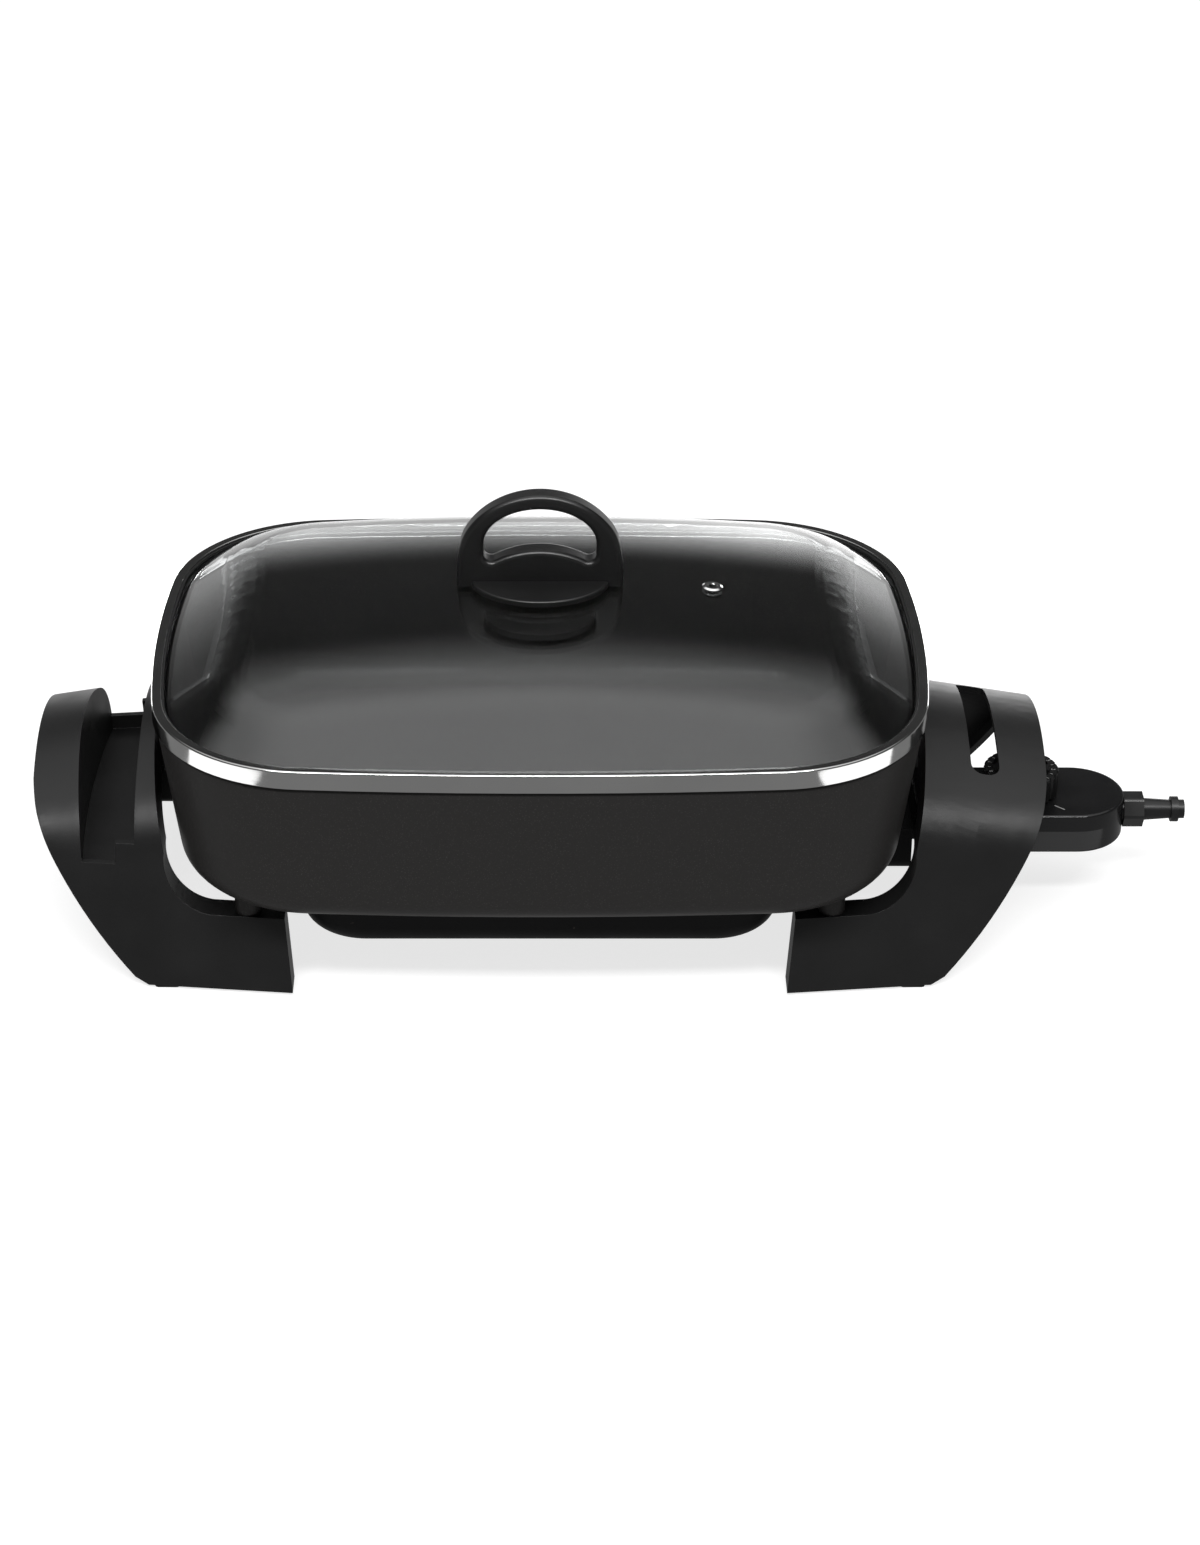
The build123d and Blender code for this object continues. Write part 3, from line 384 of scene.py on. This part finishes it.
class SkilletStage(bpy.types.PropertyGroup):
    floor_colour: bpy.props.FloatVectorProperty(
        name="Floor", description="Colour of the plain floor", subtype="COLOR", size=3,
        min=0.0, max=1.0, default=(0.33, 0.33, 0.33))
    floor_glow: bpy.props.FloatProperty(
        name="Floor Glow", description="Light given off by the back-lit floor",
        min=0.0, max=2.0, default=0.76)
    camera_tilt: bpy.props.FloatProperty(
        name="Camera Tilt", description="How far the camera looks down", subtype="ANGLE",
        min=0.0, max=1.5, default=math.radians(29.7))
    camera_distance: bpy.props.FloatProperty(
        name="Camera Distance", description="Distance from the lid's middle to the camera", unit="LENGTH",
        min=0.5, max=5.0, default=1.968)
    camera_rise: bpy.props.FloatProperty(
        name="Camera Rise", description="How far the camera's axis passes above the lid's middle",
        unit="LENGTH", min=-0.5, max=0.5, default=-0.0701)
    camera_lens: bpy.props.FloatProperty(
        name="Lens", description="Focal length in millimetres on a 36 mm long side",
        min=20.0, max=300.0, default=88.05)
    key_power: bpy.props.FloatProperty(
        name="Key Power", description="Power of the overhead softbox in watts",
        min=0.0, max=500.0, default=82.0)
    back_glow: bpy.props.FloatProperty(
        name="Back Glow", description="Extra light low on the wall behind the product",
        min=0.0, max=5.0, default=0.9)
    card_power: bpy.props.FloatProperty(
        name="Card Power", description="Power of each low card beside the rim in watts",
        min=0.0, max=500.0, default=0.26)
    probe_card_power: bpy.props.FloatProperty(
        name="Probe Card Power", description="Power of the low card before the probe in watts",
        min=0.0, max=50.0, default=0.024)
    panel_power: bpy.props.FloatProperty(
        name="Panel Power", description="Power of each panel behind the rim in watts",
        min=0.0, max=500.0, default=6.0)
    room_light: bpy.props.FloatProperty(
        name="Room Light", description="Strength of the surrounding white room",
        min=0.0, max=5.0, default=2.0)


# ---- pieces ----------------------------------------------------------------------------
class SKILLET_OT_pan(bpy.types.Operator):
    """Coat the cast pan with satin non-stick"""
    bl_idname = "skillet.pan"
    bl_label = "Pan"

    def execute(self, context):
        look = context.scene.skillet_look
        colour, roughness = look.coating_colour, look.coating_roughness
        coat = Shader("pan_coating", colour, roughness)
        coat.set(Specular_IOR_Level=0.13)
        spots = coat.remap(coat.cells(scale=900.0), (0.05, 0.28), (1.0, 0.0))
        fleck = coat.combine("MULTIPLY", spots, coat.noise(scale=60.0, detail=3.0))
        coat.colour(fleck, colour, lighter(colour, 3.2))
        coat.rough(coat.noise(scale=14.0, detail=5.0, fineness=0.6), roughness - 0.05, roughness + 0.07)
        coat.bump(coat.noise(scale=1500.0, detail=2.0), depth=0.00004, strength=0.8)
        coat.bump(coat.noise(scale=260.0, detail=2.0), depth=0.00003, strength=0.4)
        dress(coat, ["pan", "leg_spacers"])
        return {"FINISHED"}


class SKILLET_OT_underside(bpy.types.Operator):
    """Finish the heating element, its cover, the socket and their terminals"""
    bl_idname = "skillet.underside"
    bl_label = "Underside"

    def execute(self, context):
        sheath = metal("element_sheath", HEATED_STEEL, roughness=0.45, level=300.0, upright=300.0)
        sheath.bump(sheath.noise(scale=500.0, detail=3.0), depth=0.00003, strength=0.5)
        dress(sheath, ["heating_element"])
        dress(painted_steel("pressed_steel", BLACK_PAINT, roughness=0.5), ["element_cover", "socket_shroud"])
        bush = Shader("bush_ceramic", CERAMIC, roughness=0.75)
        bush.colour(bush.noise(scale=300.0, detail=4.0), CERAMIC, STAINED_CERAMIC)
        bush.bump(bush.noise(scale=1200.0, detail=3.0), depth=0.00005, strength=0.7)
        dress(bush, ["terminal_bushes"])
        return {"FINISHED"}


class SKILLET_OT_handles(bpy.types.Operator):
    """Finish the two moulded side handles, the tie to the pan and the rubber pads and seals"""
    bl_idname = "skillet.handles"
    bl_label = "Side Handles"

    def execute(self, context):
        look = context.scene.skillet_look
        grip = plastic("handle_plastic", look.handle_colour, look.handle_roughness,
                       look.grain_size, grain_depth=0.00005)
        dress(grip, ["left_handle", "right_handle", "side_bracket"])
        soften_edges(["left_handle", "right_handle"], HANDLE_ROUND)
        pad = Shader("pad_rubber", BLACK_RUBBER, roughness=0.8)
        pad.set(Specular_IOR_Level=0.25)
        pad.rough(pad.noise(scale=90.0, detail=3.0), 0.72, 0.9)
        pad.bump(pad.noise(scale=1200.0, detail=2.0), depth=0.00006, strength=0.7)
        dress(pad, ["foot_pads", "rim_seal", "knob_gasket"])
        return {"FINISHED"}


class SKILLET_OT_lid(bpy.types.Operator):
    """Finish the glass dome, its steel rim and the vent"""
    bl_idname = "skillet.lid"
    bl_label = "Lid"

    def execute(self, context):
        look = context.scene.skillet_look
        glass = Shader("lid_glass", look.glass_tint, roughness=0.0)
        glass.set(Transmission_Weight=1.0, IOR=1.5)
        smear = glass.noise(scale=18.0, detail=6.0, fineness=0.65)
        glass.rough(smear, 0.0, 0.05, span=(0.5, 0.8))
        dress(glass, ["lid_glass"])
        dress(metal("rim_steel", look.rim_colour, roughness=0.11, level=40.0, upright=1400.0), ["lid_rim"])
        soften_edges(["lid_rim"], RIM_ROUND)
        dress(metal("vent_steel", VENT_STEEL, roughness=0.14, level=200.0, upright=200.0), ["vent_grommet"])
        return {"FINISHED"}


class SKILLET_OT_knob(bpy.types.Operator):
    """Finish the arched knob on the lid"""
    bl_idname = "skillet.knob"
    bl_label = "Lid Knob"

    def execute(self, context):
        look = context.scene.skillet_look
        grip = plastic("knob_plastic", look.handle_colour, look.handle_roughness - 0.08,
                       look.grain_size * 0.8, grain_depth=0.00002, shine=0.42)
        dress(grip, ["lid_knob"])
        return {"FINISHED"}


class SKILLET_OT_probe(bpy.types.Operator):
    """Finish the thermostat probe's case, lens, cord gland and strain relief"""
    bl_idname = "skillet.probe"
    bl_label = "Thermostat Probe"

    def execute(self, context):
        look = context.scene.skillet_look
        case = plastic("probe_plastic", look.probe_colour, roughness=0.20,
                       grain_size=0.0008, grain_depth=0.000008, shine=0.36)
        scratch = case.noise(scale=1.0, detail=4.0, fineness=0.6, where=case.stretched((40.0, 900.0, 900.0)))
        case.bump(scratch, depth=0.000006, strength=0.4)
        dress(case, ["probe_lower_case", "probe_upper_case"])
        gland = plastic("gland_plastic", look.handle_colour, roughness=0.3,
                        grain_size=0.0005, grain_depth=0.00001, shine=0.5)
        dress(gland, ["cord_gland"])
        sleeve = plastic("relief_rubber", look.probe_colour, roughness=0.34,
                         grain_size=0.0006, grain_depth=0.00001, shine=0.35)
        dress(sleeve, ["strain_relief"])
        soften_edges(["cord_gland"], GLAND_ROUND)
        lens = Shader("lens_plastic", AMBER_RED, roughness=0.15)
        lens.set(Transmission_Weight=0.5, IOR=1.46)
        lens.bump(lens.noise(scale=900.0, detail=1.0), depth=0.00003, strength=0.4)
        dress(lens, ["indicator_lens"])
        return {"FINISHED"}


class SKILLET_OT_dial(bpy.types.Operator):
    """Finish the temperature dial and print its scale and the mark on the case"""
    bl_idname = "skillet.dial"
    bl_label = "Dial"

    def execute(self, context):
        look = context.scene.skillet_look
        disc = plastic("dial_plastic", look.handle_colour, roughness=0.26,
                       grain_size=0.0006, grain_depth=0.00001, shine=0.45)
        dress(disc, ["dial"])
        ink = Shader("scale_print", look.print_colour, roughness=0.55)
        ink.colour(ink.noise(scale=700.0, detail=4.0), look.print_colour, lighter(look.print_colour, 0.7))
        ink.rough(ink.noise(scale=90.0, detail=3.0), 0.48, 0.62)

        scale = bmesh.new()
        for step in range(SCALE_STEPS + 1):
            angle = POINTER_ANGLE + SCALE_SWEEP * step / SCALE_STEPS
            if step % 2:
                bar(scale, angle, DIAL_RADIUS - DASH_INNER, DIAL_RADIUS - DASH_OUTER, DASH_WIDTH,
                    DIAL_TOP - DASH_SINK, DIAL_TOP + PRINT_RAISE)
            else:
                figure(scale, str(1 + step // 2), angle, DIAL_RADIUS - NUMBER_INSET, DIAL_TOP)
        new_object("dial_scale", scale, "dial", ink.material)

        case_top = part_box("indicator_lens")[1].z - CASE_LENS_STAND
        mark = bmesh.new()
        bar(mark, POINTER_ANGLE, DIAL_RADIUS + POINTER_INNER, DIAL_RADIUS + POINTER_OUTER, POINTER_WIDTH,
            case_top - POINTER_SINK, case_top + PRINT_RAISE)
        new_object("dial_pointer", mark, "probe", ink.material)
        return {"FINISHED"}


class SKILLET_OT_metalwork(bpy.types.Operator):
    """Finish the screws, pins, sleeves, springs, shaft and sensor rod"""
    bl_idname = "skillet.metalwork"
    bl_label = "Metalwork"

    def execute(self, context):
        plated = metal("plated_steel", ZINC_PLATE, roughness=0.30, level=400.0, upright=400.0)
        dress(plated, ["cover_screws", "terminal_pins", "shroud_screws", "leg_screws", "bracket_screws",
                       "knob_washer", "knob_screw", "sensor_rod", "case_screws", "thermostat_frame",
                       "dial_shaft"])
        brass = metal("contact_brass", BRASS, roughness=0.34, level=500.0, upright=500.0)
        dress(brass, ["contact_sleeves", "bimetal_blade", "switch_blades"])
        return {"FINISHED"}


# ---- stage -----------------------------------------------------------------------------
def make_floor(stage):
    """A plain floor that glows a little and isn't seen in reflections."""
    corners = [(x * FLOOR_REACH, y * FLOOR_REACH, 0) for x, y in ((-1, -1), (1, -1), (1, 1), (-1, 1))]
    mesh = bpy.data.meshes.new("floor")
    mesh.from_pydata(corners, [], [(0, 1, 2, 3)])
    floor = bpy.data.objects.new("floor", mesh)
    paint = Shader("floor_paint", stage.floor_colour, roughness=0.6)
    paint.set(Emission_Color=(1.0, 1.0, 1.0, 1.0), Emission_Strength=stage.floor_glow)
    paint.bump(paint.noise(scale=220.0, detail=2.0), depth=0.00004, strength=0.3)
    mesh.materials.append(paint.material)
    bpy.context.scene.collection.objects.link(floor)
    floor.visible_glossy = False
    return floor


def softbox(name, place, target, width, depth, power):
    """A rectangular light that faces a target."""
    lamp = bpy.data.lights.new(name, "AREA")
    lamp.shape, lamp.size, lamp.size_y, lamp.energy = "RECTANGLE", width, depth, power
    made = bpy.data.objects.new(name, lamp)
    made.location = place
    made.rotation_euler = (Vector(target) - Vector(place)).to_track_quat("-Z", "Y").to_euler()
    bpy.context.scene.collection.objects.link(made)
    return made


def private_light(light, group):
    """Hide a light from the camera and let it light only one group of nodes."""
    light.visible_camera = False
    light.light_linking.receiver_collection = group
    return light


def light_group(name, nodes):
    """A collection of CAD nodes for the lights that are linked to it."""
    group = bpy.data.collections.new(name)
    for node in nodes:
        group.objects.link(NODES[node])
    return group


def make_lights(stage):
    """The long softbox for everything, and cards and panels for the steel and the probe's case."""
    lights = [softbox("key_front", KEY_PLACE, KEY_TARGET, KEY_WIDTH, KEY_DEPTH, stage.key_power)]
    polished = light_group("polished_steel", ["lid_rim", "vent_grommet"])
    glossy = light_group("glossy_case", ["probe_lower_case"])

    cards = (("card_left", -CARD_OUT, CARD_Y, CARD_WIDTH, CARD_DEPTH, stage.card_power, polished),
             ("card_right", CARD_OUT, CARD_Y, CARD_WIDTH, CARD_DEPTH, stage.card_power, polished),
             ("card_probe", PROBE_CARD_OUT, PROBE_CARD_Y, PROBE_CARD_WIDTH, PROBE_CARD_DEPTH,
              stage.probe_card_power, glossy))
    for name, out, y, width, depth, power, lit in cards:
        place = Vector((PAN_MIDDLE_X + out, y, CARD_HEIGHT))
        card = softbox(name, place, place + Vector((0, 0, 1)), width, depth, power)
        lights.append(private_light(card, lit))

    for name, out in (("panel_left", -PANEL_OUT), ("panel_right", PANEL_OUT)):
        place = (PAN_MIDDLE_X + out, PANEL_Y, PANEL_HEIGHT)
        target = (PAN_MIDDLE_X, 0.0, PANEL_HEIGHT)
        panel = softbox(name, place, target, PANEL_WIDTH, PANEL_DEPTH, stage.panel_power)
        lights.append(private_light(panel, polished))
    return lights


def make_room(stage):
    """A room that is bright above, dark half way up and glows low behind the product."""
    world = bpy.data.worlds.new("white_room")
    world.use_nodes = True
    room = Tree(world.node_tree)
    background = room.tree.nodes["Background"]
    where = room.tree.nodes.new("ShaderNodeTexCoord")
    split = room.tree.nodes.new("ShaderNodeSeparateXYZ")
    ramp = room.tree.nodes.new("ShaderNodeValToRGB")
    room.link(where.outputs["Generated"], split.inputs["Vector"])
    room.link(split.outputs["Z"], ramp.inputs["Fac"])

    stops = ramp.color_ramp.elements
    for height, level in ROOM_LEVELS[1:-1]:
        stops.new(height)
    for stop, (height, level) in zip(stops, ROOM_LEVELS):
        stop.position, stop.color = height, (level, level, level, 1)
    ramp.color_ramp.interpolation = "EASE"

    low = room.remap(split.outputs["Z"], (GLOW_TOP, 0.0), (0.0, 1.0), "SMOOTHSTEP")
    behind = room.remap(split.outputs["Y"], (GLOW_START, 1.0), (0.0, stage.back_glow), "SMOOTHSTEP")
    sideways = room.remap(split.outputs["X"], (-GLOW_TURN, GLOW_TURN), (GLOW_LEFT, GLOW_RIGHT), "SMOOTHSTEP")
    glow = room.combine("MULTIPLY", room.combine("MULTIPLY", low, behind), sideways)
    room.link(room.combine("ADD", glow, ramp.outputs["Color"]), background.inputs["Color"])
    background.inputs["Strength"].default_value = stage.room_light
    return world


def make_camera(stage):
    """A long lens in front of the product, above it and tilted down to the lid."""
    lens = bpy.data.cameras.new("camera")
    lens.lens, lens.sensor_width = stage.camera_lens, FILM_WIDTH
    lens.shift_x = PICTURE_SHIFT / PICTURE_LENGTH
    camera = bpy.data.objects.new("camera", lens)
    tilt = stage.camera_tilt
    forward = Vector((0.0, math.cos(tilt), -math.sin(tilt)))
    upward = Vector((0.0, math.sin(tilt), math.cos(tilt)))
    aim = Vector((PAN_MIDDLE_X, 0.0, RIM_TOP))
    camera.location = aim + upward * stage.camera_rise - forward * stage.camera_distance
    camera.rotation_euler = (math.pi / 2 - tilt, 0.0, 0.0)
    bpy.context.scene.collection.objects.link(camera)
    return camera


class SKILLET_OT_stage(bpy.types.Operator):
    """Set the floor, the lights, the room and the camera"""
    bl_idname = "skillet.stage"
    bl_label = "Stage"

    def execute(self, context):
        stage = context.scene.skillet_stage
        floor = make_floor(stage)
        lights = make_lights(stage)
        context.scene.world = make_room(stage)
        context.scene.view_settings.view_transform = "Standard"
        context.scene.camera = make_camera(stage)
        return {"FINISHED"}


# ---- add-on ----------------------------------------------------------------------------
STEPS = [SKILLET_OT_pan, SKILLET_OT_underside, SKILLET_OT_handles, SKILLET_OT_lid, SKILLET_OT_knob,
         SKILLET_OT_probe, SKILLET_OT_dial, SKILLET_OT_metalwork, SKILLET_OT_stage]


class SKILLET_PT_sidebar(bpy.types.Panel):
    bl_label = "Electric Skillet"
    bl_idname = "SKILLET_PT_sidebar"
    bl_space_type = "VIEW_3D"
    bl_region_type = "UI"
    bl_category = "Skillet"

    def draw(self, context):
        layout = self.layout
        for group in (context.scene.skillet_look, context.scene.skillet_stage):
            box = layout.box()
            for name in group.bl_rna.properties.keys():
                if name not in ("rna_type", "name"):
                    box.prop(group, name)
        column = layout.column(align=True)
        for step in STEPS:
            column.operator(step.bl_idname)


CLASSES = [SkilletLook, SkilletStage, *STEPS, SKILLET_PT_sidebar]


def register():
    for item in CLASSES:
        bpy.utils.register_class(item)
    bpy.types.Scene.skillet_look = bpy.props.PointerProperty(type=SkilletLook)
    bpy.types.Scene.skillet_stage = bpy.props.PointerProperty(type=SkilletStage)


def unregister():
    del bpy.types.Scene.skillet_stage
    del bpy.types.Scene.skillet_look
    for item in reversed(CLASSES):
        bpy.utils.unregister_class(item)


def main():
    register()
    for step in STEPS:
        group, name = step.bl_idname.split(".")
        getattr(getattr(bpy.ops, group), name)()


if __name__ == "__main__":
    main()
